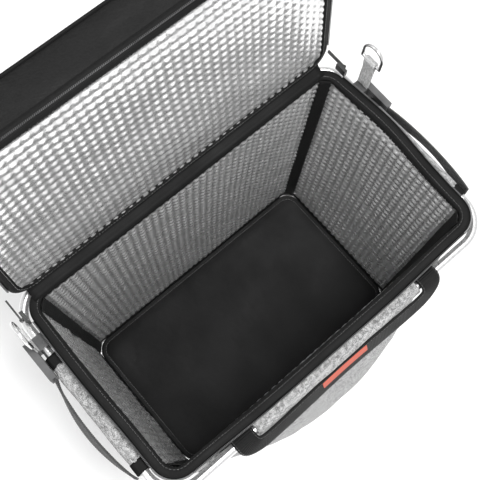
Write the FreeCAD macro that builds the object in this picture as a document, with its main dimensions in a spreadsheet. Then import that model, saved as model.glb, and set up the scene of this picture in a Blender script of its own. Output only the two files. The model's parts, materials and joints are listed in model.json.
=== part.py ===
"""Insulated cooler bag: a soft, foam-lined bag held open by a tube round its rim.

Millimetres, +Z up, +X to the bag's right, -Y its front. The origin is the centre of the
base's bottom face. The lid is hinged along the top of the back wall and stands open.
"""
import FreeCAD, Part
import math
import os

import Sketcher

Vector = FreeCAD.Vector

# ---------------------------------------------------------------- driving dimensions
SIZES = {
    "body_width": 390.0,
    "body_depth": 222.0,
    "rim_height": 306.0,
    "corner_radius": 24.0,
    "width_taper": 20.0,
    "depth_taper": 4.0,
    "fabric": 1.2,
    "layer_gap": 0.3,
    "foam": 6.4,
    "liner": 0.8,
    "base_fabric": 1.4,
    "rim_band": 2.0,
    "rim_inner_lap": 1.0,
    "tape_drop": 5.0,
    "tape_thick": 1.2,
    "coil_size": 1.8,
    "board_thick": 2.2,
    "board_play": 2.0,
    "board_radius": 20.0,
    "strip_width": 10.0,
    "strip_thick": 1.2,
    "lid_height": 44.0,
    "lid_border": 13.0,
    "lid_foam": 7.0,
    "lid_open_angle": 97.0,
    "lid_piping": 3.0,
    "hinge_thick": 1.0,
    "hinge_roll": 1.9,
    "tube_diameter": 9.0,
    "tube_clearance": 0.7,
    "tube_drop": 16.0,
    "sleeve_wall": 2.0,
    "sleeve_skirt": 13.0,
    "front_sleeve_length": 206.0,
    "side_sleeve_length": 112.0,
    "side_sleeve_centre": -14.0,
    "edge_tape": 12.0,
    "running_gap": 0.4,
    "pocket_wall": 1.6,
    "front_pocket_width": 306.0,
    "front_pocket_bulge": 42.0,
    "front_pocket_drop": 42.0,
    "side_pocket_width": 132.0,
    "side_pocket_bulge": 20.0,
    "side_pocket_drop": 42.0,
    "pocket_bottom": 10.0,
    "webbing_width": 25.0,
    "webbing_thick": 2.6,
    "handle_reach": 19.0,
    "handle_span": 234.0,
    "handle_face": 21.0,
    "label_length": 57.0,
    "label_height": 11.0,
    "label_thick": 1.0,
    "clamp_length": 14.0,
    "clamp_place": 70.0,
    "arm_length": 42.0,
    "arm_thick": 7.0,
    "arm_height": 18.0,
    "clamp_step": 2.0,
    "ring_wire": 3.6,
    "ring_width": 24.0,
    "ring_height": 24.0,
    "ring_loop_rise": 50.0,
    "ring_loop_width": 14.0,
    "ring_offset": 6.0,
    "ring_loop_skin": 1.2,
    "arm_gap": 3.0,
    "side_strap_thick": 2.2,
    "side_strap_height": 24.0,
    "side_strap_hang": 18.0,
    "side_strap_bulge": 9.0,
    "slider_length": 13.0,
    "slider_thick": 3.6,
    "slider_height": 9.0,
    "bail_height": 7.2,
    "bail_web": 0.9,
    "pull_height": 4.5,
    "slider_overrun": 7.0,
    "pull_length": 24.0,
    "pull_thick": 1.6,
}

doc = FreeCAD.newDocument("CoolerBag")
sheet = doc.addObject("Spreadsheet::Sheet", "Sizes")
for row, (alias, value) in enumerate(SIZES.items(), start=1):
    sheet.set("A%d" % row, alias)
    sheet.set("B%d" % row, str(value))
    sheet.setAlias("B%d" % row, alias)
doc.recompute()

PARTS = {}


def size(name):
    """The value that the sheet holds under an alias."""
    return float(sheet.get(name))


def cell(text):
    """An expression in which each alias is read from the sheet."""
    words = []
    for word in text.split():
        words.append("Sizes." + word if word in SIZES else word)
    return " ".join(words)


def bind(thing, **formulas):
    """Ties properties of an object to formulas of aliases."""
    for name, text in formulas.items():
        thing.setExpression(name.replace("__", "."), cell(text))
    return thing


def keep(node, thing):
    """Names an object as a sub-part, so that it is written to its own file."""
    thing.Label = node
    PARTS[node] = thing
    return thing


# ---------------------------------------------------------------- basic solids
def box(name, low, span):
    """A box from the formulas of its low corner and of its three lengths."""
    block = doc.addObject("Part::Box", name)
    bind(block, Length=span[0], Width=span[1], Height=span[2])
    bind(block, Placement__Base__x=low[0], Placement__Base__y=low[1], Placement__Base__z=low[2])
    return block


def cylinder(name, radius, length, centre, axis):
    """A cylinder along one axis, from the formulas of its start point, radius and length."""
    rod = doc.addObject("Part::Cylinder", name)
    turns = {"X": (Vector(0, 1, 0), 90), "Y": (Vector(1, 0, 0), -90), "Z": (Vector(0, 0, 1), 0)}
    turn_axis, angle = turns[axis]
    rod.Placement = FreeCAD.Placement(Vector(), FreeCAD.Rotation(turn_axis, angle))
    bind(rod, Radius=radius, Height=length)
    bind(rod, Placement__Base__x=centre[0], Placement__Base__y=centre[1], Placement__Base__z=centre[2])
    return rod


def cut(name, base, tool):
    result = doc.addObject("Part::Cut", name)
    result.Base = base
    result.Tool = tool
    return result


def common(name, first, second):
    result = doc.addObject("Part::Common", name)
    result.Base = first
    result.Tool = second
    return result


def fuse(name, pieces):
    result = doc.addObject("Part::MultiFuse", name)
    result.Shapes = pieces
    return result


def group(name, pieces):
    """Separate solids that make one sub-part."""
    result = doc.addObject("Part::Compound", name)
    result.Links = pieces
    return result


def mirrored(name, source, normal):
    """The mirror image of an object in a plane through the origin."""
    result = doc.addObject("Part::Mirroring", name)
    result.Source = source
    result.Base = Vector(0, 0, 0)
    result.Normal = normal
    return result


# ---------------------------------------------------------------- rounded rings and slabs
def plane(body, role):
    for feature in body.Origin.OriginFeatures:
        if feature.Role == role:
            return feature
    raise ValueError("no plane called " + role)


def evaluate(text):
    """The number that a formula of aliases gives."""
    words = [str(size(word)) if word in SIZES else word for word in text.split()]
    return float(FreeCAD.Units.parseQuantity(" ".join(words)).Value)


def narrowed(span, taper, level):
    """A span of the bag's mouth, as it is lower down, at a level above the base."""
    return "%s - 2 * %s * ( 1 - ( %s ) / rim_height )" % (span, taper, level)


MOUTH = "rim_height"


def rounded_loop(sketch, inset, level):
    """Adds the bag's rounded plan outline at a level, moved inwards by the formula inset."""
    across = narrowed("body_width", "width_taper", level)
    along = narrowed("body_depth", "depth_taper", level)
    half_x = evaluate("( %s ) / 2 - ( %s )" % (across, inset))
    half_y = evaluate("( %s ) / 2 - ( %s )" % (along, inset))
    radius = evaluate("corner_radius - ( %s )" % inset)
    cx = half_x - radius
    cy = half_y - radius
    first = sketch.GeometryCount
    corners = [(cx, cy, 0), (-cx, cy, 90), (-cx, -cy, 180), (cx, -cy, 270)]
    for x, y, start in corners:
        circle = Part.Circle(Vector(x, y, 0), Vector(0, 0, 1), radius)
        low = math.radians(start)
        sketch.addGeometry(Part.ArcOfCircle(circle, low, low + math.pi / 2), False)
    for index in range(4):
        here = sketch.Geometry[first + index].EndPoint
        there = sketch.Geometry[first + (index + 1) % 4].StartPoint
        sketch.addGeometry(Part.LineSegment(here, there), False)
    rules = []
    for index in range(4):
        arc = first + index
        line = first + 4 + index
        following = first + (index + 1) % 4
        rules.append(Sketcher.Constraint("Tangent", arc, 2, line, 1))
        rules.append(Sketcher.Constraint("Tangent", line, 2, following, 1))
    rules.append(Sketcher.Constraint("Horizontal", first + 4))
    rules.append(Sketcher.Constraint("Vertical", first + 5))
    for index in range(1, 4):
        rules.append(Sketcher.Constraint("Equal", first, first + index))
    rules.append(Sketcher.Constraint("Symmetric", first, 3, first + 2, 3, -1, 1))
    sketch.addConstraint(rules)
    spans = (
        (("Radius", first, radius), "corner_radius - ( %s )" % inset),
        (("DistanceX", first + 1, 3, first, 3, 2 * cx), across + " - 2 * corner_radius"),
        (("DistanceY", first + 3, 3, first, 3, 2 * cy), along + " - 2 * corner_radius"),
    )
    for values, text in spans:
        number = sketch.addConstraint(Sketcher.Constraint(*values))
        sketch.setExpression("Constraints[%d]" % number, cell(text))


def plan_body(name, insets, bottom, height, level=MOUTH):
    """A pad of the plan outline: one inset makes a slab, two make a ring."""
    body = doc.addObject("PartDesign::Body", name)
    sketch = body.newObject("Sketcher::SketchObject", name + "_plan")
    sketch.AttachmentSupport = [(plane(body, "XY_Plane"), "")]
    sketch.MapMode = "FlatFace"
    for inset in insets:
        rounded_loop(sketch, inset, level)
    pad = body.newObject("PartDesign::Pad", name + "_pad")
    pad.Profile = sketch
    bind(pad, Length=height)
    body.Tip = pad
    sketch.Visibility = False
    bind(body, Placement__Base__z=bottom)
    return body


def tapered(name, inset, bottom, top):
    """A solid between the bag's outline at two levels, moved inwards by the formula inset."""
    sections = []
    for place, level in (("low", bottom), ("high", top)):
        sketch = doc.addObject("Sketcher::SketchObject", "%s_%s" % (name, place))
        rounded_loop(sketch, inset, level)
        bind(sketch, Placement__Base__z=level)
        sketch.Visibility = False
        sections.append(sketch)
    solid = doc.addObject("Part::Loft", name)
    solid.Sections = sections
    solid.Solid = True
    solid.Ruled = True
    return solid


def leaning(thing, side):
    """Tips an upright piece about the rim, so that it lies along the tapered wall."""
    if side == "front":
        angle = math.degrees(math.atan(size("depth_taper") / size("rim_height")))
        pivot = Vector(0, -evaluate("body_depth / 2 + layer_gap"), size("rim_height"))
        turn = FreeCAD.Rotation(Vector(1, 0, 0), angle)
    else:
        angle = math.degrees(math.atan(size("width_taper") / size("rim_height")))
        pivot = Vector(evaluate("body_width / 2 + layer_gap"), 0, size("rim_height"))
        turn = FreeCAD.Rotation(Vector(0, 1, 0), angle)
    thing.Placement = FreeCAD.Placement(Vector(), turn, pivot)
    return thing


BIG = "body_width + body_depth"


def region(name, side, trim="0"):
    """A block over one side of the plan; the end blocks take the corners with them."""
    edge = "body_depth / 2 - corner_radius - ( %s )" % trim
    tall = "2 * rim_height + 2 * lid_height"
    low_z = "0 - rim_height / 2"
    far = "0 - ( %s )" % BIG
    full = "2 * ( %s )" % BIG
    between = "2 * ( %s )" % edge
    spans = {
        "front": ((far, far), (full, "%s - ( %s )" % (BIG, edge))),
        "back": ((far, edge), (full, BIG)),
        "left": ((far, "0 - ( %s )" % edge), (BIG, between)),
        "right": (("0", "0 - ( %s )" % edge), (BIG, between)),
    }
    corner, span = spans[side]
    return box(name, (*corner, low_z), (*span, tall))


SIDES = ("front", "back", "left", "right")


def four_panels(stem, insets, bottom):
    """A tapered wall made as four panels, each seamed to the next where a corner begins."""
    outer = tapered(stem + "_outer", insets[0], bottom, WALL_TOP)
    inner = tapered(stem + "_inner", insets[1], bottom, WALL_TOP)
    ring = cut(stem + "_ring", outer, inner)
    for side in SIDES:
        area = region("%s_%s_area" % (stem, side), side, "depth_taper + layer_gap")
        keep("%s_%s" % (stem, side), common("%s_%s_panel" % (stem, side), ring, area))


def three_sides(name, insets, bottom, height):
    """A ring left open along the back, where the hinge runs."""
    ring = plan_body(name + "_ring", insets, bottom, height)
    back = region(name + "_back", "back")
    return cut(name + "_run", ring, back)


# ---------------------------------------------------------------- heights and insets
SHELL = ("0", "fabric")
FOAM_OUT = "fabric + layer_gap"
FOAM = (FOAM_OUT, FOAM_OUT + " + foam")
LINER_OUT = FOAM[1] + " + layer_gap"
LINER = (LINER_OUT, LINER_OUT + " + liner")
INNER = LINER[1]
WALL_TOP = "rim_height - rim_band - layer_gap"
FOAM_LOW = "base_fabric + layer_gap"
FOAM_HIGH = FOAM_LOW + " + foam"
LINER_LOW = FOAM_HIGH + " + layer_gap"
LINER_HIGH = LINER_LOW + " + liner"
BOARD_LOW = LINER_HIGH + " + layer_gap"
TAPE_INSET = ("0 - layer_gap - tape_thick", "0 - layer_gap")
COIL_INSET = ("0 - layer_gap - coil_size", "0 - layer_gap")
COIL_LOW = "rim_height + layer_gap"
LID_COIL_LOW = COIL_LOW + " + coil_size + layer_gap"
LID_LOW = LID_COIL_LOW + " + coil_size + layer_gap"
HINGE_Y = "body_depth / 2"
HINGE_Z = "rim_height / 2 + ( %s ) / 2" % LID_LOW


def base():
    """Bottom fabric, its foam, the foil over it and the loose stiffening board."""
    keep("base_panel", plan_body("base_panel_body", ["0"], "0", "base_fabric", "0"))
    keep("base_foam", plan_body("base_foam_body", [FOAM_OUT], FOAM_LOW, "foam", FOAM_LOW))
    keep("base_liner", plan_body("base_liner_body", [LINER_OUT], LINER_LOW, "liner", LINER_LOW))
    board_inset = INNER + " + board_play"
    across = "%s - 2 * ( %s )" % (narrowed("body_width", "width_taper", BOARD_LOW), board_inset)
    along = "%s - 2 * ( %s )" % (narrowed("body_depth", "depth_taper", BOARD_LOW), board_inset)
    slab = box("board_slab", ("0 - ( %s ) / 2" % across, "0 - ( %s ) / 2" % along, BOARD_LOW),
               (across, along, "board_thick"))
    doc.recompute()
    board = doc.addObject("Part::Fillet", "board_round")
    board.Base = slab
    radius = size("board_radius")
    board.Edges = [(edge, radius, radius) for edge in (1, 3, 5, 7)]
    keep("floor_board", board)


def walls():
    """Outer fabric, foam and foil, each as four panels."""
    four_panels("shell", SHELL, "base_fabric")
    four_panels("foam", FOAM, LINER_LOW)
    four_panels("liner", LINER, LINER_HIGH + " + layer_gap")


def corner_strips():
    """The bound seams that run up the liner's four inner corners, a pair to each wall."""
    corners = {"front": ((-1, -1, 225), (1, -1, 315)), "back": ((-1, 1, 135), (1, 1, 45))}
    for wall, places in corners.items():
        keep("corner_strips_" + wall, group("corner_strips_%s_pair" % wall, [
            corner_strip("strip_%s_%d" % (wall, angle), sx, sy, angle) for sx, sy, angle in places]))


def corner_strip(name, sx, sy, angle):
    """One strip, laid across the round corner of the liner with its outer edges on the foil."""
    radius = size("corner_radius") - evaluate(INNER)
    half = size("strip_width") / 2
    outer = math.sqrt(radius ** 2 - half ** 2) - size("layer_gap")
    inner = outer - size("strip_thick")
    centres = []
    for level in (BOARD_LOW, WALL_TOP):
        across = evaluate(narrowed("body_width", "width_taper", level)) / 2
        along = evaluate(narrowed("body_depth", "depth_taper", level)) / 2
        reach = size("corner_radius")
        centres.append(Vector(sx * (across - reach), sy * (along - reach), evaluate(level)))
    turn = FreeCAD.Rotation(Vector(0, 0, 1), angle)
    corners = [centres[0] + turn.multVec(Vector(x, y, 0))
               for x, y in ((inner, -half), (outer, -half), (outer, half), (inner, half))]
    strip = doc.addObject("Part::Feature", name)
    strip.Shape = Part.Face(Part.makePolygon(corners + corners[:1])).extrude(centres[1] - centres[0])
    return strip


def rim():
    """The bound top edge, with the body's half of the main zip outside it."""
    keep("rim_binding", plan_body("rim_binding_body", ["0", INNER + " + rim_inner_lap"],
                                  "rim_height - rim_band", "rim_band"))
    keep("body_zip_tape", three_sides("body_zip_tape", TAPE_INSET, "rim_height - tape_drop", "tape_drop"))
    keep("body_zip_coil", three_sides("body_zip_coil", COIL_INSET, COIL_LOW, "coil_size"))


# ---------------------------------------------------------------- lid
def on_lid(node, thing, bottom=None):
    """Keeps a lid piece and swings it to the open position about the hinge line."""
    if bottom is not None:
        thing.setExpression("Placement.Base.z", None)
        thing.Placement = FreeCAD.Placement(Vector(0, 0, evaluate(bottom)), FreeCAD.Rotation())
    pivot = Vector(0, evaluate(HINGE_Y), evaluate(HINGE_Z))
    swing = FreeCAD.Rotation(Vector(1, 0, 0), -size("lid_open_angle"))
    opened = FreeCAD.Placement(Vector(), swing, pivot)
    thing.Placement = opened.multiply(thing.Placement)
    return keep(node, thing)


def lid_layer(node, insets, bottom, height):
    """A slab or ring of the lid, at its closed height before it is swung open."""
    on_lid(node, plan_body(node + "_body", insets, bottom, height), bottom)


def lid():
    """A thick padded lid: foil below, black gusset round it, fabric on top."""
    wall = "fabric + layer_gap"
    border_high = LID_LOW + " + rim_band"
    foam_low = border_high + " + layer_gap"
    top_low = LID_LOW + " + lid_height - fabric"
    core_low = foam_low + " + lid_foam + layer_gap"
    gusset_high = top_low + " - layer_gap"
    foil_inset = wall + " + lid_border"
    lid_layer("lid_foil", [foil_inset + " + layer_gap"], LID_LOW, "rim_band")
    lid_layer("lid_binding", [wall, foil_inset], LID_LOW, "rim_band")
    lid_layer("lid_foam", [wall], foam_low, "lid_foam")
    lid_layer("lid_padding", [wall], core_low, "%s - ( %s )" % (gusset_high, core_low))
    lid_layer("lid_top", ["0"], top_low, "fabric")
    lid_layer("lid_piping", ["0 - layer_gap - lid_piping / 2", "0 - layer_gap"],
              top_low + " - lid_piping + fabric", "lid_piping")
    for side in SIDES:
        name = "lid_gusset_" + side
        ring = plan_body(name + "_ring", SHELL, LID_LOW, "%s - ( %s )" % (gusset_high, LID_LOW))
        panel = common(name + "_panel", ring, region(name + "_area", side))
        on_lid(name, panel)
    tape = three_sides("lid_zip_tape", TAPE_INSET, LID_LOW, "tape_drop")
    on_lid("lid_zip_tape", tape)
    coil = three_sides("lid_zip_coil", COIL_INSET, LID_COIL_LOW, "coil_size")
    on_lid("lid_zip_coil", coil)


def hinge_strip():
    """The fabric hinge: a strip behind the rim that ends in a roll on the lid's fold line."""
    length = "body_width - 2 * corner_radius"
    strip = box("hinge_block", ("0 - ( %s ) / 2" % length, "body_depth / 2 + layer_gap",
                                "rim_height - tape_drop"),
                (length, "hinge_thick", "%s - rim_height + tape_drop" % HINGE_Z))
    start = ("0 - ( %s ) / 2" % length, HINGE_Y, HINGE_Z)
    roll = cylinder("hinge_roll_rod", "hinge_roll", length, start, "X")
    keep("hinge_strip", fuse("hinge_whole", [strip, roll]))


# ---------------------------------------------------------------- rim frame
TUBE_RADIUS = "tube_diameter / 2"
TUBE_Z = "rim_height - tube_drop"
BORE = "tube_diameter / 2 + running_gap"
STANDOFF = BORE + " + webbing_thick + tube_clearance"


def tube_centre(side):
    """How far the tube's centre line stands from the middle of the bag."""
    half = "body_depth / 2" if side in ("front", "back") else "body_width / 2"
    return "%s + %s" % (half, STANDOFF)


def frame_tube():
    """One closed tube round the bag, just under the rim, that holds its mouth open."""
    half_x = evaluate(tube_centre("right"))
    half_y = evaluate(tube_centre("front"))
    bend = evaluate("corner_radius + " + STANDOFF)
    height = evaluate(TUBE_Z)
    edges = []
    quarter = math.pi / 2
    for index, (sx, sy) in enumerate(((1, 1), (-1, 1), (-1, -1), (1, -1))):
        centre = Vector(sx * (half_x - bend), sy * (half_y - bend), height)
        circle = Part.Circle(centre, Vector(0, 0, 1), bend)
        edges.append(Part.ArcOfCircle(circle, index * quarter, (index + 1) * quarter).toShape())
    path = []
    for index, arc in enumerate(edges):
        following = edges[(index + 1) % 4]
        path.append(arc)
        path.append(Part.makeLine(arc.Vertexes[-1].Point, following.Vertexes[0].Point))
    wire = Part.Wire(Part.__sortEdges__(path))
    start = wire.Edges[0].valueAt(wire.Edges[0].FirstParameter)
    along = wire.Edges[0].tangentAt(wire.Edges[0].FirstParameter)
    profile = Part.Wire(Part.makeCircle(evaluate(TUBE_RADIUS), start, along))
    tube = doc.addObject("Part::Feature", "frame_tube_sweep")
    tube.Shape = wire.makePipeShell([profile], True, True)
    keep("frame_tube", tube)


def sleeve(name, side, middle, length):
    """A fabric tunnel sewn to the wall, through which the tube runs."""
    reach = "%s + %s + sleeve_wall + running_gap - 2 * layer_gap" % (STANDOFF, TUBE_RADIUS)
    tall = "2 * ( %s ) + 2 * sleeve_wall + sleeve_skirt" % BORE
    low = "%s - ( %s ) - sleeve_wall - sleeve_skirt" % (TUBE_Z, BORE)
    start = "%s - ( %s ) / 2" % (middle, length)
    before = start + " - sleeve_wall"
    through = "%s + 2 * sleeve_wall" % length
    if side == "front":
        corner = (start, "0 - body_depth / 2 - layer_gap - ( %s )" % reach, low)
        block = box(name + "_block", corner, (length, reach, tall))
        mouth = (before, "0 - ( %s )" % tube_centre("front"), TUBE_Z)
        bore = cylinder(name + "_bore", BORE, through, mouth, "X")
    else:
        corner = ("body_width / 2 + layer_gap", start, low)
        block = box(name + "_block", corner, (reach, length, tall))
        bore = cylinder(name + "_bore", BORE, through, (tube_centre("right"), before, TUBE_Z), "Y")
    return cut(name + "_tunnel", block, bore)


def pair(stem, names, thing, normal):
    """Keeps an object and its mirror image as two sub-parts."""
    keep("%s_%s" % (stem, names[0]), thing)
    keep("%s_%s" % (stem, names[1]), mirrored("%s_%s_mirror" % (stem, names[1]), thing, normal))


ACROSS = Vector(1, 0, 0)
LENGTHWISE = Vector(0, 1, 0)


def sleeves():
    """Four tunnels; the side ones end in black edge tape."""
    front = sleeve("sleeve_front", "front", "0", "front_sleeve_length")
    pair("sleeve", ("front", "back"), front, LENGTHWISE)
    right = sleeve("sleeve_right", "right", "side_sleeve_centre", "side_sleeve_length")
    pair("sleeve", ("right", "left"), right, ACROSS)
    step = "( side_sleeve_length + edge_tape ) / 2 + layer_gap"
    tapes = []
    for place, sign in (("back", "+"), ("front", "-")):
        centre = "side_sleeve_centre %s ( %s )" % (sign, step)
        tapes.append(sleeve("sleeve_tape_%s" % place, "right", centre, "edge_tape"))
    pair("sleeve_tapes", ("right", "left"), group("sleeve_tapes_pair", tapes), ACROSS)


# ---------------------------------------------------------------- pockets
def bulge_radius(chord, rise):
    return "( ( %s ) * ( %s ) / 4 + ( %s ) * ( %s ) ) / ( 2 * ( %s ) )" % (chord, chord, rise, rise, rise)


def pocket(name, side, middle, chord, rise, top):
    """An open-topped pocket whose outer face bows away from the wall."""
    radius = bulge_radius(chord, rise)
    inner = radius + " - pocket_wall"
    tall = "%s - pocket_bottom" % top
    inner_low = "pocket_bottom + pocket_wall"
    inner_tall = "%s - pocket_bottom" % top
    if side == "front":
        wall = "0 - body_depth / 2 - layer_gap"
        centre = "%s - ( %s ) + ( %s )" % (wall, rise, radius)
        low = (middle + " - ( %s ) / 2" % chord, "%s - ( %s )" % (wall, rise))
        span = (chord, rise)
        place = (middle, centre)
        back_low = (low[0], low[1])
        back_span = (chord, "%s - pocket_wall" % rise)
    else:
        wall = "body_width / 2 + layer_gap"
        centre = "%s + ( %s ) - ( %s )" % (wall, rise, radius)
        low = (wall, middle + " - ( %s ) / 2" % chord)
        span = (rise, chord)
        place = (centre, middle)
        back_low = ("%s + pocket_wall" % wall, low[1])
        back_span = ("%s - pocket_wall" % rise, chord)
    outer_round = cylinder(name + "_outer_round", radius, tall, (place[0], place[1], "pocket_bottom"), "Z")
    outer_box = box(name + "_outer_box", (low[0], low[1], "pocket_bottom"), (span[0], span[1], tall))
    inner_round = cylinder(name + "_inner_round", inner, inner_tall, (place[0], place[1], inner_low), "Z")
    inner_box = box(name + "_inner_box", (back_low[0], back_low[1], inner_low),
                    (back_span[0], back_span[1], inner_tall))
    outer = common(name + "_outer", outer_round, outer_box)
    hollow = common(name + "_hollow", inner_round, inner_box)
    return leaning(cut(name + "_shell", outer, hollow), side)


def pockets():
    keep("front_pocket", pocket("front_pocket", "front", "0", "front_pocket_width",
                                "front_pocket_bulge", "rim_height - front_pocket_drop"))
    side = pocket("side_pocket", "right", "side_sleeve_centre", "side_pocket_width",
                  "side_pocket_bulge", "rim_height - side_pocket_drop")
    pair("side_pocket", ("right", "left"), side, ACROSS)


# ---------------------------------------------------------------- carry handles
def handle(name):
    """A webbing loop that turns on the tube: two ends round it and one run between them."""
    axis_y = "0 - ( %s )" % tube_centre("front")
    ring_out = BORE + " + webbing_thick"
    pieces = []
    for tag, sign in (("left", "-"), ("right", "+")):
        end = "0 %s handle_span / 2 - webbing_width / 2" % sign
        eye = cylinder("%s_eye_%s" % (name, tag), ring_out, "webbing_width", (end, axis_y, TUBE_Z), "X")
        corner = (end, "%s - handle_reach" % axis_y, "%s - webbing_thick / 2" % TUBE_Z)
        arm = box("%s_arm_%s" % (name, tag), corner, ("webbing_width", "handle_reach", "webbing_thick"))
        pieces.append(eye)
        pieces.append(arm)
    run = box(name + "_run", ("0 - handle_span / 2 - webbing_width / 2", "%s - handle_reach" % axis_y,
                              "%s + webbing_thick / 2 - handle_face" % TUBE_Z),
              ("handle_span + webbing_width", "webbing_thick", "handle_face"))
    pieces.append(run)
    whole = fuse(name + "_whole", pieces)
    bore = cylinder(name + "_bore", BORE, "handle_span + 4 * webbing_width",
                    ("0 - handle_span / 2 - 2 * webbing_width", axis_y, TUBE_Z), "X")
    return cut(name + "_loop", whole, bore)


def handles():
    pair("handle", ("front", "back"), handle("handle_front"), LENGTHWISE)
    label = box("label_patch", ("0 - label_length / 2",
                                "0 - ( %s ) - handle_reach - layer_gap - label_thick" % tube_centre("front"),
                                "%s - label_height" % TUBE_Z),
                ("label_length", "label_thick", "label_height"))
    keep("handle_label", label)


# ---------------------------------------------------------------- back corner fittings
def corner_bracket():
    """A black clamp on the tube with an arm that runs forward beside it."""
    clamp_in = "body_width / 2 + layer_gap"
    half_tall = "( arm_height ) / 2"
    arm_x = "%s + %s + arm_gap" % (tube_centre("right"), TUBE_RADIUS)
    foot = "%s - %s" % (TUBE_Z, half_tall)
    clamp_span = ("%s - ( %s ) + arm_thick" % (arm_x, clamp_in), "clamp_length", "arm_height - clamp_step")
    clamp_corner = (clamp_in, "clamp_place - clamp_length / 2", foot + " + clamp_step")
    clamp = box("clamp_block", clamp_corner, clamp_span)
    arm_corner = (arm_x, "clamp_place + clamp_length / 2 - arm_length", foot)
    arm = box("arm_block", arm_corner, ("arm_thick", "arm_length", "arm_height"))
    whole = fuse("bracket_whole", [clamp, arm])
    bore = cylinder("bracket_bore", BORE, "2 * clamp_length", (tube_centre("right"),
                                                               "clamp_place - clamp_length", TUBE_Z), "Y")
    return cut("bracket_cut", whole, bore)


RING_X = "%s + ring_offset" % tube_centre("right")
LOOP_LOW = "%s + arm_height / 2 + layer_gap" % TUBE_Z
BAR_Z = "%s + ring_loop_rise - ring_wire / 2 - ring_loop_skin - running_gap" % LOOP_LOW


def ring_loop():
    """A webbing loop that stands on the clamp and carries the ring's lower bar."""
    thick = "ring_wire + 2 * running_gap + 2 * ring_loop_skin"
    block = box("ring_loop_block", ("%s - ( %s ) / 2" % (RING_X, thick),
                                    "clamp_place - ring_loop_width / 2", LOOP_LOW),
                (thick, "ring_loop_width", "ring_loop_rise"))
    bore = cylinder("ring_loop_bore", "ring_wire / 2 + running_gap", "2 * ring_loop_width",
                    (RING_X, "clamp_place - ring_loop_width", BAR_Z), "Y")
    return cut("ring_loop_cut", block, bore)


def ring():
    """A D-ring: a straight bar through the loop, and a bow above it."""
    half = size("ring_width") / 2
    rise = Vector(0, 0, size("ring_height") - half)
    middle = Vector(evaluate(RING_X), size("clamp_place"), evaluate(BAR_Z))
    rear = middle + Vector(0, half, 0)
    front = middle - Vector(0, half, 0)
    crown = middle + rise + Vector(0, 0, half)
    edges = [
        Part.makeLine(front, front + rise),
        Part.Arc(front + rise, crown, rear + rise).toShape(),
        Part.makeLine(rear + rise, rear),
    ]
    wire_radius = size("ring_wire") / 2
    profile = Part.Wire(Part.makeCircle(wire_radius, front, Vector(0, 0, 1)))
    bow = Part.Wire(edges).makePipeShell([profile], True, True)
    bar = Part.makeCylinder(wire_radius, 2 * half, front, Vector(0, 1, 0))
    balls = [Part.makeSphere(wire_radius, corner) for corner in (front, rear)]
    thing = doc.addObject("Part::Feature", "ring_sweep")
    thing.Shape = bow.fuse([bar] + balls).removeSplitter()
    return thing


def side_strap():
    """A webbing strap that leaves the bracket's arm and bows past the side pocket."""
    arm_x = evaluate("%s + %s + arm_gap" % (tube_centre("right"), TUBE_RADIUS))
    start_y = evaluate("clamp_place + clamp_length / 2 - arm_length - layer_gap")
    end_y = evaluate("side_sleeve_centre - side_sleeve_length / 2 - edge_tape - layer_gap")
    sleeve_out = "%s + layer_gap + %s + sleeve_wall" % (tube_centre("right"), TUBE_RADIUS)
    wall_x = evaluate(sleeve_out + " + 2 * running_gap")
    thick = size("side_strap_thick")
    bow = size("side_strap_bulge")
    outlines = []
    for offset in (0, thick):
        first = Vector(arm_x + offset, start_y, 0)
        last = Vector(wall_x + offset, end_y, 0)
        middle = (first + last) / 2 + Vector(bow, 0, 0)
        outlines.append((first, middle, last))
    inner = Part.Arc(*outlines[0]).toShape()
    outer = Part.Arc(*outlines[1]).toShape()
    ends = [Part.makeLine(outlines[0][0], outlines[1][0]), Part.makeLine(outlines[0][2], outlines[1][2])]
    face = Part.Face(Part.Wire(Part.__sortEdges__([inner, outer] + ends)))
    strap = face.extrude(Vector(0, 0, size("side_strap_height")))
    strap.translate(Vector(0, 0, evaluate(TUBE_Z) - size("side_strap_hang")))
    thing = doc.addObject("Part::Feature", "side_strap_band")
    thing.Shape = strap
    return thing


def corner_fittings():
    pair("corner_bracket", ("right", "left"), corner_bracket(), ACROSS)
    pair("ring_loop", ("right", "left"), ring_loop(), ACROSS)
    pair("d_ring", ("right", "left"), ring(), ACROSS)
    pair("side_strap", ("right", "left"), side_strap(), ACROSS)


# ---------------------------------------------------------------- zip sliders
COIL_OUT = "body_width / 2 + layer_gap + coil_size"
SLIDER_IN = COIL_OUT + " + running_gap"
SLIDER_Z = "( %s + %s ) / 2" % (COIL_LOW, LID_LOW)
EYE_RADIUS = "pull_thick + running_gap / 2"
SLIDER_PLACE = "body_depth / 2 - corner_radius + slider_overrun"
PULL_X = "%s + slider_thick + running_gap + %s" % (SLIDER_IN, EYE_RADIUS)


def zip_slider():
    """A slider that rides outside both coils, parked at the rear end of its side run."""
    corner = (SLIDER_IN, SLIDER_PLACE + " - slider_length / 2", "%s - slider_height / 2" % SLIDER_Z)
    plate = box("slider_plate", corner, ("slider_thick", "slider_length", "slider_height"))
    low = "%s - bail_height / 2" % SLIDER_Z
    bail = cylinder("slider_bail", "pull_thick / 2", "bail_height", (PULL_X, SLIDER_PLACE, low), "Z")
    web_in = SLIDER_IN + " + slider_thick / 2"
    web_start = SLIDER_PLACE + " - pull_thick / 2"
    web = ("%s - ( %s ) - slider_thick / 2" % (PULL_X, SLIDER_IN), "pull_thick", "bail_web")
    foot = box("slider_foot", (web_in, web_start, low), web)
    cap = box("slider_cap", (web_in, web_start, "%s + bail_height / 2 - bail_web" % SLIDER_Z), web)
    return fuse("slider_whole", [plate, bail, foot, cap])


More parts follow.
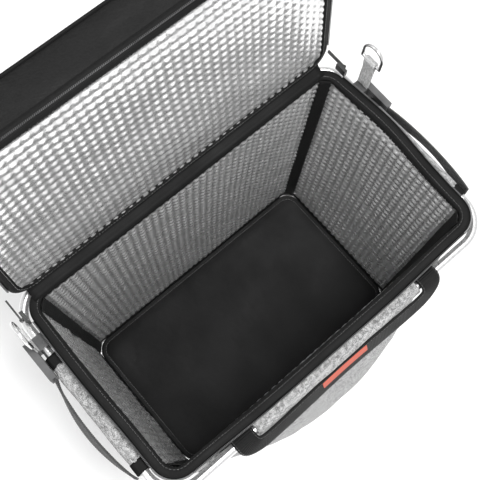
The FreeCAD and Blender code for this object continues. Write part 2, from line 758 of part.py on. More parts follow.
def zip_pull():
    """A flat pull that turns on the slider's bail and trails behind it."""
    eye_bore = "pull_thick / 2 + running_gap / 2"
    low = "%s - pull_height / 2" % SLIDER_Z
    eye = cylinder("pull_eye", EYE_RADIUS, "pull_height", (PULL_X, SLIDER_PLACE, low), "Z")
    corner = (PULL_X + " - pull_thick / 2", SLIDER_PLACE, low)
    blade = box("pull_blade", corner, ("pull_thick", "pull_length", "pull_height"))
    bore = cylinder("pull_bore", eye_bore, "2 * slider_height",
                    (PULL_X, SLIDER_PLACE, "%s - slider_height" % SLIDER_Z), "Z")
    return cut("pull_cut", fuse("pull_whole", [eye, blade]), bore)


def zip_fittings():
    pair("zip_slider", ("right", "left"), zip_slider(), ACROSS)
    pair("zip_pull", ("right", "left"), zip_pull(), ACROSS)


def main():
    base()
    walls()
    corner_strips()
    rim()
    lid()
    hinge_strip()
    frame_tube()
    sleeves()
    pockets()
    handles()
    corner_fittings()
    zip_fittings()
    doc.recompute()
    check_document()
    write_parts()


def check_document():
    """Stops the build if any object failed or any sub-part has no valid solid."""
    for thing in doc.Objects:
        for word in ("Invalid", "Error"):
            if word in thing.State:
                raise RuntimeError("%s is %s" % (thing.Label, thing.State))
    for node, thing in PARTS.items():
        shape = thing.Shape
        if shape.isNull() or not shape.isValid() or not shape.Solids:
            raise RuntimeError("%s has no valid solid" % node)


def write_parts():
    os.makedirs("parts", exist_ok=True)
    for node, thing in PARTS.items():
        thing.Shape.exportStep(os.path.join("parts", node + ".step"))
        bounds = thing.Shape.BoundBox
        print("%-28s %8.1f cm3  x %7.1f %7.1f  y %7.1f %7.1f  z %7.1f %7.1f" % (
            node, thing.Shape.Volume / 1000, bounds.XMin, bounds.XMax,
            bounds.YMin, bounds.YMax, bounds.ZMin, bounds.ZMax))


main()
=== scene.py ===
import json
import math

import bpy
import bmesh
import numpy as np
from mathutils import Matrix, Vector, noise


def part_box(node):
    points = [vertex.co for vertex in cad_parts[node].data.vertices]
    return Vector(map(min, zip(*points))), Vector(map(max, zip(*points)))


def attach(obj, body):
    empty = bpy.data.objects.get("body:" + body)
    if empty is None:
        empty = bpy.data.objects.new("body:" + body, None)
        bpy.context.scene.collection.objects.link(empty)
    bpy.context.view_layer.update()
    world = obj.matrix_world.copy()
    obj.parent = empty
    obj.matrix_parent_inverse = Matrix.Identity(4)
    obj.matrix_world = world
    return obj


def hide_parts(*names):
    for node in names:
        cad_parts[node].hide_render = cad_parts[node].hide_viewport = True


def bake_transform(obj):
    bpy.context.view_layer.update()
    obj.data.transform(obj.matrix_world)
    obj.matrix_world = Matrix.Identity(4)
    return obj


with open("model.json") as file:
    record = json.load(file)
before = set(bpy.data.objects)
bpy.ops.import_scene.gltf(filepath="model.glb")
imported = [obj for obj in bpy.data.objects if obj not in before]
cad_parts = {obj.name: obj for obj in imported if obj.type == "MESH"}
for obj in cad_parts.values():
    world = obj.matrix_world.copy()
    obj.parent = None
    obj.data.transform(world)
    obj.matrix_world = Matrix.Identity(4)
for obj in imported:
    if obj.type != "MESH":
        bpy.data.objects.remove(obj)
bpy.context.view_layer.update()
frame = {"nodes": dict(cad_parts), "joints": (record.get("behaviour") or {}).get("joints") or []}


# ---------------------------------------------------------------- sizes from the frame
def low(node):
    return np.array(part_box(node)[0])


def high(node):
    return np.array(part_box(node)[1])


HALF_X, HALF_Y, RIM_Z = high("rim_binding")
TAPER_X = HALF_X - high("base_panel")[0]
TAPER_Y = HALF_Y - high("base_panel")[1]
RADIUS = 0.024
WALL = 0.009
FLOOR_Z = high("floor_board")[2]
JOINT = {joint["name"]: joint for joint in frame["joints"]}
HINGE = np.array(JOINT["lid_hinge"]["pos_m"])
OPEN_ANGLE = math.radians(JOINT["lid_hinge"]["range_deg"][1])
TUBE_R = (high("frame_tube")[2] - low("frame_tube")[2]) / 2
TUBE_X = high("frame_tube")[0] - TUBE_R
TUBE_Y = high("frame_tube")[1] - TUBE_R
TUBE_Z = high("frame_tube")[2] - TUBE_R
CELL = 0.0090
CLOTH = 0.0012
GRIP_WIDE = 0.0235
GRIP_THICK = 0.0026
GRIP_TILT = math.radians(21)
GRIP_RIB = 0.0018
LABEL_WIDE = 0.0090
LABEL_THICK = 0.0011
STRAP_WIDE = 0.023
STRAP_THICK = 0.0022
COIL_RADIUS = 0.00072
COIL_PITCH = 0.0015
COIL_WIRE = 0.00026


def turned(points, angle):
    """Points turned about the lid's hinge line."""
    p = np.asarray(points, float) - HINGE
    c, s = math.cos(angle), math.sin(angle)
    out = np.stack([p[..., 0], p[..., 1] * c - p[..., 2] * s, p[..., 1] * s + p[..., 2] * c], -1)
    return out + HINGE


def opened(points):
    """Points of the shut lid, moved to where the lid stands open."""
    return turned(points, -OPEN_ANGLE)


# ---------------------------------------------------------------- mesh tools
def smooth(t):
    t = np.clip(t, 0, 1)
    return t * t * (3 - 2 * t)


def wave(points, scale, seed=0.0):
    """Smooth seeded noise, about -1 to 1, at each point."""
    flat = np.asarray(points, float).reshape(-1, 3)
    found = [noise.noise(Vector(p) * scale + Vector((seed, seed * 1.7, -seed))) for p in flat]
    return np.array(found).reshape(np.asarray(points).shape[:-1])


def grid(rows, close_u=False, close_v=False, caps=False):
    """Quads over an array of points, (m, n, 3)."""
    m, n = rows.shape[:2]
    index = np.arange(m * n).reshape(m, n)
    wide = np.vstack([index, index[:1]]) if close_u else index
    wide = np.hstack([wide, wide[:, :1]]) if close_v else wide
    quads = np.stack([wide[:-1, :-1], wide[1:, :-1], wide[1:, 1:], wide[:-1, 1:]], -1)
    faces = quads.reshape(-1, 4).tolist()
    if caps:
        faces += [index[0].tolist(), index[-1][::-1].tolist()]
    return rows.reshape(-1, 3), faces


def join(*parts):
    points, faces, start = [], [], 0
    for verts, polygons in parts:
        points.append(verts)
        faces += [[i + start for i in f] for f in polygons]
        start += len(verts)
    return np.concatenate(points), faces


def piece(name, part, material, body="bag", stands_for=(), flat=False):
    """A mesh object that rides on a body and stands for CAD nodes."""
    verts, faces = part
    data = bpy.data.meshes.new(name)
    data.from_pydata(np.asarray(verts, float).tolist(), [], faces)
    data.validate()
    tidy = bmesh.new()
    tidy.from_mesh(data)
    bmesh.ops.recalc_face_normals(tidy, faces=tidy.faces)
    tidy.to_mesh(data)
    tidy.free()
    data.polygons.foreach_set("use_smooth", [not flat] * len(data.polygons))
    obj = bpy.data.objects.new(name, data)
    bpy.context.scene.collection.objects.link(obj)
    data.materials.append(material)
    if body:
        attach(obj, body)
    if stands_for:
        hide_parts(*stands_for)
    return obj


def thicken(obj, depth=CLOTH, offset=0):
    """Gives a sheet its thickness."""
    thick = obj.modifiers.new("thick", "SOLIDIFY")
    thick.thickness = depth
    thick.offset = offset


def frames(path, hint=(0, 0, 1)):
    """Tangents and two side directions along a path."""
    path = np.asarray(path, float)
    tangent = np.gradient(path, axis=0)
    tangent /= np.linalg.norm(tangent, axis=1)[:, None]
    side = np.cross(tangent, np.asarray(hint, float))
    side /= np.maximum(np.linalg.norm(side, axis=1), 1e-9)[:, None]
    return tangent, side, np.cross(side, tangent)


def tube(path, radius, sides=8, closed=False, hint=(0, 0, 1)):
    """A round cord along a path."""
    path = np.asarray(path, float)
    if closed:
        wrapped = np.vstack([path[-1:], path, path[:1]])
        _, a, b = (f[1:-1] for f in frames(wrapped, hint))
    else:
        _, a, b = frames(path, hint)
    turn = np.linspace(0, 2 * math.pi, sides, endpoint=False)
    ring = a[:, None] * np.cos(turn)[None, :, None] + b[:, None] * np.sin(turn)[None, :, None]
    return grid(path[:, None] + ring * radius, close_u=closed, close_v=True, caps=not closed)


def resampled(path, step, closed=False):
    """The path again with points a step apart, and its arc length."""
    path = np.asarray(path, float)
    if closed:
        path = np.vstack([path, path[:1]])
    length = np.concatenate([[0], np.cumsum(np.linalg.norm(np.diff(path, axis=0), axis=1))])
    count = max(2, int(round(length[-1] / step)))
    at = np.linspace(0, length[-1], count + (0 if closed else 1), endpoint=not closed)
    return np.stack([np.interp(at, length, path[:, k]) for k in range(path.shape[1])], 1), at


def coil(path, out, radius, pitch, wire, sides=5, turns=9):
    """A zip's spiral: a thin wire wound along the path."""
    both, at = resampled(np.hstack([path, out]), pitch / turns)
    centre, out = both[:, :3], both[:, 3:]
    tangent = frames(centre)[0]
    up = np.cross(out, tangent)
    phase = at * 2 * math.pi / pitch
    spiral = centre + radius * (out * np.cos(phase)[:, None] + up * np.sin(phase)[:, None])
    return tube(spiral, wire, sides)


def stitches(path, length=0.0026, gap=0.0012, radius=0.00035, closed=False):
    """A row of thread stitches along the path, with gaps between them."""
    points, _ = resampled(path, (length + gap) / 6, closed)
    parts = []
    whole = int(round(6 * length / (length + gap)))
    for start in range(0, len(points) - whole - 1, 6):
        run = points[start:start + whole + 1]
        parts.append(tube(run, radius, 5))
    return join(*parts)


def ribbon(centre, across, face, width, thick, rib=0.0, pitch=0.0018):
    """A woven strap: its cross-section is a flat rounded bar, with ribs across it."""
    half = np.array([-0.5, -0.49, -0.46, -0.3, -0.1, 0.1, 0.3, 0.46, 0.49, 0.5])
    lift = np.array([0.0, 0.3, 0.5, 0.5, 0.5, 0.5, 0.5, 0.5, 0.3, 0.0])
    u = np.concatenate([half, half[-2:0:-1]])
    v = np.concatenate([lift, -lift[-2:0:-1]])
    at = np.concatenate([[0], np.cumsum(np.linalg.norm(np.diff(centre, axis=0), axis=1))])
    swell = 1 + rib * np.cos(2 * math.pi * at / pitch)
    rows = (centre[:, None] + across[:, None] * (u * width)[None, :, None]
            + face[:, None] * (v * thick)[None, :, None] * swell[:, None, None])
    return grid(rows, close_v=True, caps=True)


# ---------------------------------------------------------------- the bag's plan outline
def outline(inset=0.0, step=0.004, arc=10, whole=True, half=(HALF_X, HALF_Y), radius=RADIUS):
    """Points and outward directions round the plan, from the rear of the right side to the front.
    Their number doesn't depend on the inset, so that loops at several insets join into a sheet."""
    r = max(radius - inset, 0.0015)
    cx, cy = half[0] - inset - r, half[1] - inset - r
    wide = max(2, int(round(2 * (half[0] - radius) / step)))
    deep = max(2, int(round(2 * (half[1] - radius) / step)))
    points, out = [], []

    def straight(a, b, normal, count):
        for t in np.arange(count) / count:
            points.append((a[0] + (b[0] - a[0]) * t, a[1] + (b[1] - a[1]) * t))
            out.append(normal)

    def corner(sx, sy, start):
        for t in np.arange(arc) / arc:
            angle = start - t * math.pi / 2
            normal = (math.cos(angle), math.sin(angle))
            points.append((sx * cx + r * normal[0], sy * cy + r * normal[1]))
            out.append(normal)

    straight((cx + r, cy), (cx + r, -cy), (1, 0), deep)
    corner(1, -1, 0)
    straight((cx, -cy - r), (-cx, -cy - r), (0, -1), wide)
    corner(-1, -1, -math.pi / 2)
    straight((-cx - r, -cy), (-cx - r, cy), (-1, 0), deep)
    if whole:
        corner(-1, 1, math.pi)
        straight((-cx, cy + r), (cx, cy + r), (0, 1), wide)
        corner(1, 1, math.pi / 2)
    else:
        points.append((-cx - r, cy))
        out.append((-1, 0))
    return np.array(points), np.array(out)


def at_level(points, z):
    return np.column_stack([points, np.full(len(points), z)])


SLACK_Z = np.array([0.0, 0.02, 0.07, 0.15, 0.25, 0.283, 0.297, 0.303, 0.31]) * RIM_Z / 0.306
SLACK = np.array([0.0, 0.1, 0.65, 1.0, 0.5, 0.12, 0.15, 0.75, 0.9])


def inward(half, taper, z):
    """How far a side plane lies from the middle at a level: the bag narrows to its base."""
    return half - taper * np.clip(1 - np.asarray(z) / RIM_Z, 0, 1)


def settled(points):
    """The bag's taper and its slack: its sides bow out between the corners, the right one most."""
    p = np.array(points, float)
    x, y, z = p[..., 0], p[..., 1], p[..., 2]
    level = np.interp(z, SLACK_Z, SLACK)
    along_side = np.exp(-(((y - 0.018) / 0.052) ** 2)) * smooth((HALF_Y - 0.012 - np.abs(y)) / 0.03)
    along_front = smooth((HALF_X - 0.02 - np.abs(x)) / 0.11)
    right = smooth((x - 0.12) / 0.04)
    left = smooth((-x - 0.12) / 0.04)
    front = smooth((-y - 0.06) / 0.035)
    back = smooth((y - 0.06) / 0.035) * (z < RIM_Z - 0.03)
    p[..., 0] += level * along_side * (0.0062 * right - 0.0020 * left)
    p[..., 1] += level * along_front * (-0.0036 * front + 0.0022 * back)
    p[..., 0] -= (HALF_X - inward(HALF_X, TAPER_X, z)) * np.clip(x / (HALF_X - RADIUS), -1, 1)
    p[..., 1] -= (HALF_Y - inward(HALF_Y, TAPER_Y, z)) * np.clip(y / (HALF_Y - RADIUS), -1, 1)
    return p


def sweep(profile, whole=True, step=0.004, arc=10, soft=True, closed=True, crumple=0.0, seed=3.0):
    """A profile of (outward, height) points carried round the plan outline."""
    rows = []
    for out, z in profile:
        points, _ = outline(-out, step, arc, whole)
        rows.append(at_level(points, z))
    rows = np.array(rows)
    if soft:
        rows = settled(rows)
    if crumple:
        rows[..., 2] += crumple * wave(rows, 35, seed)
        normal = np.append(outline(0, step, arc, whole)[1], np.zeros((rows.shape[1], 1)), 1)
        rows += normal[None] * (crumple * wave(rows, 28, seed + 5))[..., None]
    return grid(rows.transpose(1, 0, 2), close_u=whole, close_v=closed, caps=not whole and closed)


# ---------------------------------------------------------------- materials
def node(tree, kind, inputs=(), **settings):
    made = tree.nodes.new(kind)
    for name, value in settings.items():
        setattr(made, name, value)
    for key, value in dict(inputs).items():
        if isinstance(value, bpy.types.NodeSocket):
            tree.links.new(value, made.inputs[key])
        else:
            made.inputs[key].default_value = value
    return made


def start(name, **sockets):
    """A Principled material with constant values on its own sockets."""
    material = bpy.data.materials.new(name)
    material.use_nodes = True
    shader = material.node_tree.nodes["Principled BSDF"]
    for key, value in sockets.items():
        shader.inputs[key.replace("_", " ")].default_value = value
    return material, material.node_tree, shader


def place(tree, scale):
    """Object coordinates, stretched."""
    coordinates = node(tree, "ShaderNodeTexCoord")
    return node(tree, "ShaderNodeMapping", {0: coordinates.outputs["Object"], 3: scale}).outputs[0]


def speckle(tree, scale, stretch=(1, 1, 1), detail=3.0, rough=0.6):
    return node(tree, "ShaderNodeTexNoise", {"Vector": place(tree, stretch), "Scale": scale,
                                             "Detail": detail, "Roughness": rough}).outputs["Fac"]


def stripes(tree, scale, direction, stretch=(1, 1, 1), distortion=0.0):
    return node(tree, "ShaderNodeTexWave", {"Vector": place(tree, stretch), "Scale": scale,
                                            "Distortion": distortion, "Detail": 1.0},
                bands_direction=direction).outputs["Fac"]


def ramp(tree, value, stops):
    made = node(tree, "ShaderNodeValToRGB", {0: value})
    elements = made.color_ramp.elements
    while len(elements) < len(stops):
        elements.new(0.5)
    for element, (position, colour) in zip(elements, stops):
        element.position = position
        element.color = (*colour, 1) if len(colour) == 3 else colour
    return made.outputs[0]


def sums(tree, operation, a, b):
    return node(tree, "ShaderNodeMath", {0: a, 1: b}, operation=operation).outputs[0]


def bumped(tree, shader, height, distance, strength=1.0, below=None):
    inputs = {"Height": height, "Distance": distance, "Strength": strength}
    if below is not None:
        inputs["Normal"] = below
    made = node(tree, "ShaderNodeBump", inputs).outputs[0]
    tree.links.new(made, shader.inputs["Normal"])
    return made


def grey(*values):
    return [(v, v, v) for v in values]


def heather(name, dark=0.10, middle=0.30, light=0.56, rough=0.9):
    """Melange cloth: light and dark yarns in both directions, and a plain weave."""
    material, tree, shader = start(name, Roughness=rough, Sheen_Weight=0.15, Sheen_Roughness=0.5)
    upright = speckle(tree, 1500, (1, 1, 0.14))
    level = speckle(tree, 1500, (0.16, 0.16, 1))
    cloud = speckle(tree, 260, (1, 1, 0.5), 2)
    mixed = sums(tree, "ADD", sums(tree, "MULTIPLY", upright, 0.58), sums(tree, "MULTIPLY", level, 0.36))
    mixed = sums(tree, "ADD", mixed, sums(tree, "MULTIPLY", cloud, 0.06))
    a, b, c = grey(dark, middle, light)
    colour = ramp(tree, mixed, [(0.42, a), (0.50, b), (0.58, c)])
    tree.links.new(colour, shader.inputs["Base Color"])
    weave = sums(tree, "MULTIPLY", stripes(tree, 330, "Z"), stripes(tree, 330, "X", (1, 1, 0)))
    bumped(tree, shader, sums(tree, "ADD", weave, sums(tree, "MULTIPLY", upright, 1.5)), 0.00035, 0.8)
    return material


def dark_cloth(name, base, rough, sheen, rib, direction, ripple=0.0):
    """Black woven tape or satin: a fine rib, lint and a soft sheen."""
    material, tree, shader = start(name, Sheen_Weight=sheen, Sheen_Roughness=0.35, Specular_IOR_Level=0.2)
    lint = speckle(tree, 900, (1, 1, 1), 4)
    patch = speckle(tree, 18, (1, 1, 1), 3)
    a, b = grey(base * 0.6, base * 1.5)
    tree.links.new(ramp(tree, lint, [(0.35, a), (0.7, b)]), shader.inputs["Base Color"])
    low_rough, high_rough = grey(rough - 0.08, rough + 0.1)
    tree.links.new(ramp(tree, patch, [(0.3, low_rough), (0.7, high_rough)]), shader.inputs["Roughness"])
    height = sums(tree, "ADD", stripes(tree, rib, direction), sums(tree, "MULTIPLY", lint, 0.6))
    below = bumped(tree, shader, height, 0.00022, 0.8)
    if ripple:
        bumped(tree, shader, patch, ripple, 1.0, below)
    return material


def foil_material(name):
    """Crinkled aluminium foil, with a few duller patches."""
    material, tree, shader = start(name, Metallic=0.80)
    dull = speckle(tree, 30, (1, 1, 1), 5, 0.65)
    a, b = grey(0.72, 0.95)
    tree.links.new(ramp(tree, dull, [(0.3, a), (0.65, b)]), shader.inputs["Base Color"])
    a, b = grey(0.20, 0.34)
    tree.links.new(ramp(tree, dull, [(0.3, b), (0.7, a)]), shader.inputs["Roughness"])
    creases = node(tree, "ShaderNodeTexVoronoi", {"Vector": place(tree, (1, 1, 1)), "Scale": 150.0},
                   feature="DISTANCE_TO_EDGE").outputs[0]
    below = bumped(tree, shader, sums(tree, "MINIMUM", creases, 0.25), 0.0007, 0.4)
    bumped(tree, shader, speckle(tree, 520, (1, 1, 1), 4), 0.0003, 0.5, below)
    return material


def metal(name, tone, rough_low, rough_high, grain=(1, 1, 1), scale=300):
    material, tree, shader = start(name, Metallic=1.0)
    marks = speckle(tree, scale, grain, 4)
    a, b = grey(tone * 0.92, tone)
    tree.links.new(ramp(tree, marks, [(0.3, a), (0.7, b)]), shader.inputs["Base Color"])
    a, b = grey(rough_low, rough_high)
    tree.links.new(ramp(tree, marks, [(0.3, a), (0.7, b)]), shader.inputs["Roughness"])
    bumped(tree, shader, marks, 0.00005, 0.5)
    return material


def plastic(name, colour, rough, grain=1400, wear_and_highlight=0.08):
    """Moulded plastic: a fine spark-eroded grain, and convex edges painted paler, partly rubbed wear and
    partly a painted edge highlight.
    """
    material, tree, shader = start(name, Specular_IOR_Level=0.45)
    fine = speckle(tree, grain, (1, 1, 1), 2)
    broad = speckle(tree, 40, (1, 1, 1), 4)
    # painted highlight: convex edges (pointiness) are painted paler, partly rubbed wear and partly a painted
    # edge highlight
    edge = node(tree, "ShaderNodeNewGeometry").outputs["Pointiness"]
    worn_and_highlit_edges = sums(tree, "ADD", sums(tree, "MULTIPLY", edge, 0.8), sums(tree, "MULTIPLY", broad, 0.2))
    paler_edge_colour = tuple(min(1, c + wear_and_highlight) for c in colour)
    tree.links.new(ramp(tree, worn_and_highlit_edges, [(0.52, colour), (0.62, paler_edge_colour)]), shader.inputs["Base Color"])
    a, b = grey(rough - 0.07, rough + 0.1)
    tree.links.new(ramp(tree, broad, [(0.3, a), (0.7, b)]), shader.inputs["Roughness"])
    bumped(tree, shader, fine, 0.00008, 0.7)
    return material


HEATHER = heather("heather")
BINDING = dark_cloth("binding_tape", 0.0045, 0.70, 0.01, 300, "Z")
ZIP_TAPE = dark_cloth("zip_tape", 0.0055, 0.7, 0.01, 380, "Z")
SATIN = dark_cloth("satin_lining", 0.009, 0.45, 0.02, 420, "DIAGONAL", 0.004)
WEBBING = dark_cloth("webbing", 0.008, 0.60, 0.02, 360, "X")
STRAP = dark_cloth("strap_webbing", 0.055, 0.7, 0.15, 300, "Z")
LOOP_CLOTH = heather("loop_webbing", 0.30, 0.50, 0.70, 0.8)
BOARD = dark_cloth("board_cloth", 0.0035, 0.50, 0.0, 420, "DIAGONAL", 0.002)
FOIL = foil_material("foil")
COIL = plastic("zip_coil", (0.05, 0.05, 0.052), 0.32, 900, 0.1)
LABEL = plastic("label_patch", (0.48, 0.100, 0.065), 0.6, 500, 0.05)
THREAD = dark_cloth("thread", 0.05, 0.5, 0.6, 900, "DIAGONAL")
BRACKET = plastic("bracket_plastic", (0.012, 0.012, 0.013), 0.42)
TUBE = metal("tube_aluminium", 0.88, 0.24, 0.38, (1, 1, 1), 500)
CHROME = metal("chrome", 0.9, 0.06, 0.12)
SLIDER = metal("slider_metal", 0.10, 0.28, 0.42)
FOAM = plastic("foam", (0.75, 0.75, 0.76), 0.9, 500)


# ---------------------------------------------------------------- outer shell and base
def outer_shell():
    levels = np.concatenate([[0.0032], np.linspace(0.008, RIM_Z - 0.0015, 52)])
    rows = []
    for z in levels:
        points, normal = outline(0.0, 0.005, 8)
        rows.append(at_level(points, z))
    rows = settled(np.array(rows))
    normal = np.append(normal, np.zeros((len(normal), 1)), 1)[None]
    height = rows[..., 2]
    loose = smooth(height / 0.05) * smooth((0.283 - height) / 0.05)
    fold = wave(rows * [1, 1, 0.45], 24, 2.0) + 0.4 * wave(rows, 60, 9.0)
    rows += normal * (0.0016 * loose * fold)[..., None]
    piece("outer_shell", grid(rows.transpose(1, 0, 2), close_u=True), HEATHER,
          stands_for=["shell_front", "shell_back", "shell_left", "shell_right"])
    base = [at_level(outline(i, 0.005, 8)[0], z) for i, z in
            ((0.0, 0.0032), (0.001, 0.001), (0.003, 0.0003), (0.02, 0.0002), (0.06, 0.0003), (0.1, 0.0002))]
    rows = settled(np.array(base))
    verts, faces = grid(rows.transpose(1, 0, 2), close_u=True)
    faces.append([i * len(base) + len(base) - 1 for i in range(rows.shape[1])])
    piece("base_skin", (verts, faces), BINDING, stands_for=["base_panel"])
    ring = at_level(outline(-0.0006, 0.005, 10)[0], 0.0042)
    piece("base_piping", tube(settled(ring), 0.0017, 10, closed=True), BINDING)


outer_shell()


# ---------------------------------------------------------------- foil lining
def pillow(u, v):
    """The embossed lattice, 0 to 1: rounded square studs with a small dimple on top."""
    a = np.abs((u % 1) - 0.5) * 2
    b = np.abs((v % 1) - 0.5) * 2
    d = (a ** 3 + b ** 3) ** (1 / 3)
    stud = smooth((1.0 - d) / 0.85)
    return stud - 0.30 * np.exp(-((a * a + b * b) / 0.05))


def wall_run(wall, step):
    """One inner wall's plan line, from the middle of a corner to the middle of the next."""
    points, out = outline(WALL, 0.004, 10)
    mark = {"right": (1, 0), "front": (0, -1), "left": (-1, 0), "back": (0, 1)}[wall]
    near = out @ np.array(mark) > math.cos(math.radians(46))
    order = np.nonzero(near)[0]
    if wall == "right":
        order = np.concatenate([order[order > len(points) // 2], order[order < len(points) // 2]])
    run = np.hstack([points[order], out[order]])
    both, at = resampled(run, step)
    normal = both[:, 2:] / np.linalg.norm(both[:, 2:], axis=1)[:, None]
    return both[:, :2], normal, at


def foil_wall(wall, crumple, relief):
    step = CELL / 6
    run, normal, at = wall_run(wall, step)
    levels = np.arange(FLOOR_Z - 0.0012, RIM_Z - 0.0035, step)
    rows = np.array([at_level(run, z) for z in levels])
    into = -np.append(normal, np.zeros((len(normal), 1)), 1)[None]
    foot = smooth((levels - FLOOR_Z) / 0.006)[:, None]
    lattice = pillow((at / CELL)[None], (levels / CELL)[:, None]) * foot
    rows = settled(rows)
    edge = smooth((RIM_Z - 0.006 - rows[..., 2]) / 0.03)
    sag = (0.45 * wave(rows, 13, 4.0) + 0.55 * wave(rows, 34, 7.0)) * crumple * edge
    rows += into * (relief * lattice + sag + 0.0002)[..., None]
    piece("foil_" + wall, grid(rows), FOIL, stands_for=["liner_" + wall, "foam_" + wall])


for wall, crumple, relief in (("back", 0.0011, 0.0024), ("right", 0.0009, 0.0024), ("front", 0.0010, 0.0009),
                              ("left", 0.0035, 0.0014)):
    foil_wall(wall, crumple, relief)


def corner_tapes():
    """Bound seams up the four inner corners."""
    r = RADIUS - WALL
    for wall, sy in (("front", -1), ("back", 1)):
        parts = []
        for sx in (-1, 1):
            centre = np.array([sx * (HALF_X - RADIUS), sy * (HALF_Y - RADIUS)])
            spread = np.radians(np.array([-27, -25, -18, -9, 0, 9, 18, 25, 27]))
            rise = np.array([0.2, 1.3, 1.9, 2.2, 2.4, 2.2, 1.9, 1.3, 0.2]) * 0.001
            middle = math.atan2(sy, sx)
            rows = []
            for z in np.linspace(FLOOR_Z - 0.002, RIM_Z - 0.001, 60):
                reach = r - rise - 0.0007
                x = centre[0] + reach * np.cos(middle + spread)
                y = centre[1] + reach * np.sin(middle + spread)
                rows.append(np.column_stack([x, y, np.full(len(x), z)]))
            rows = settled(np.array(rows))
            shift = 0.0009 * wave(rows[:, 4:5], 22, 12.0 + sx)
            rows[..., 0] -= sx * shift
            rows[..., 1] -= sy * shift * 0.5
            parts.append(grid(rows))
        obj = piece("corner_tape_" + wall, join(*parts), BINDING,
                    stands_for=["corner_strips_" + wall])
        thicken(obj, 0.0008, -1)


corner_tapes()


def floor_board():
    lo, hi = low("floor_board"), high("floor_board")
    half = (hi[0] + 0.0004, hi[1] + 0.0004)
    top = hi[2]
    profile = [(0.0006, lo[2] + 0.0001), (0.0, lo[2] + 0.0006), (0.0, top - 0.0009), (0.0006, top - 0.0002),
               (0.0016, top), (0.0045, top + 0.0001), (0.0056, top - 0.0003), (0.0066, top + 0.0001),
               (0.02, top + 0.0003), (0.04, top + 0.0002), (0.06, top + 0.0001), (0.08, top), (0.092, top)]
    rows = np.array([at_level(outline(i, 0.006, 8, half=half, radius=0.02)[0], z) for i, z in profile])
    rows[5:, :, 2] += 0.0003 * wave(rows[5:], 20, 6.0)
    verts, faces = grid(rows.transpose(1, 0, 2), close_u=True)
    count = len(profile)
    faces.append([i * count + count - 1 for i in range(rows.shape[1])])
    faces.append([i * count for i in range(rows.shape[1])][::-1])
    piece("floor_board_cover", (verts, faces), BOARD, "board", ["floor_board"])
    seam = at_level(outline(0.0056, 0.006, 8, half=half, radius=0.02)[0], top)
    piece("floor_board_stitch", stitches(seam, closed=True), THREAD, "board")


floor_board()


def floor_foot_shade():
    """A black tape round the foot of the lining's walls: painted shade where the walls meet the floor,
    covering the foil's lit studs there.
    """
    z = FLOOR_Z
    profile = [(-WALL - 0.0004, z + 0.0034), (-WALL - 0.0013, z + 0.0030), (-WALL - 0.0017, z + 0.0012),
               (-WALL - 0.0017, z - 0.0014), (-WALL - 0.0004, z - 0.0018)]
    # painted shade: this black tape darkens the foot of the foil walls
    piece("floor_foot_shade_tape", sweep(profile, closed=False), BINDING)


floor_foot_shade()


# ---------------------------------------------------------------- rim: binding, zip tape, coil
def rim():
    z = RIM_Z
    w = WALL
    band = [(-w - 0.0004, z - 0.0065), (-w - 0.0012, z - 0.0060), (-w - 0.0014, z - 0.0030),
            (-w - 0.0009, z - 0.0007), (-w + 0.0002, z + 0.0005),
            (-w * 0.6, z + 0.0011), (-w * 0.3, z + 0.0010),
            (-0.0006, z + 0.0004), (0.0003, z - 0.0006), (0.0003, z - 0.0040), (-0.0006, z - 0.0044),
            (-w * 0.5, z - 0.0012)]
    piece("rim_band", sweep(band, crumple=0.0005), BINDING, stands_for=["rim_binding"])
    seam = np.column_stack([outline(w - 0.0014, 0.004, 10)[0], np.full(len(outline()[0]), z + 0.00085)])
    piece("rim_stitch", stitches(settled(seam), 0.0022, 0.0013, 0.0003, True), THREAD)
    tape = [(0.0003, z - 0.0052), (0.0012, z - 0.0054), (0.0016, z - 0.0030), (0.0016, z - 0.0006),
            (0.0012, z + 0.0006), (0.0004, z + 0.0006), (0.0003, z - 0.0020)]
    piece("body_zip_tape_woven", sweep(tape, whole=False), ZIP_TAPE, "bag", ["body_zip_tape"])
    zip_coil("body_zip_coil_wound", z + 0.0012, "body_zip_coil", "bag", settled)


def zip_coil(name, z, stands_for, body, place_it):
    points, out = outline(-0.00125, 0.004, 10, whole=False)
    path = place_it(at_level(points, z))
    ahead = place_it(at_level(points + out * 0.001, z)) - path
    ahead /= np.linalg.norm(ahead, axis=1)[:, None]
    piece(name, coil(path, ahead, COIL_RADIUS, COIL_PITCH, COIL_WIRE), COIL, body, [stands_for])


rim()


# ---------------------------------------------------------------- lid
LID_LOW = 0.3105
LID_HIGH = 0.3545


def lid_sweep(profile, whole=True, closed=True, crumple=0.0, seed=1.0):
    verts, faces = sweep(profile, whole=whole, soft=False, closed=closed, crumple=crumple, seed=seed)
    return opened(verts), faces


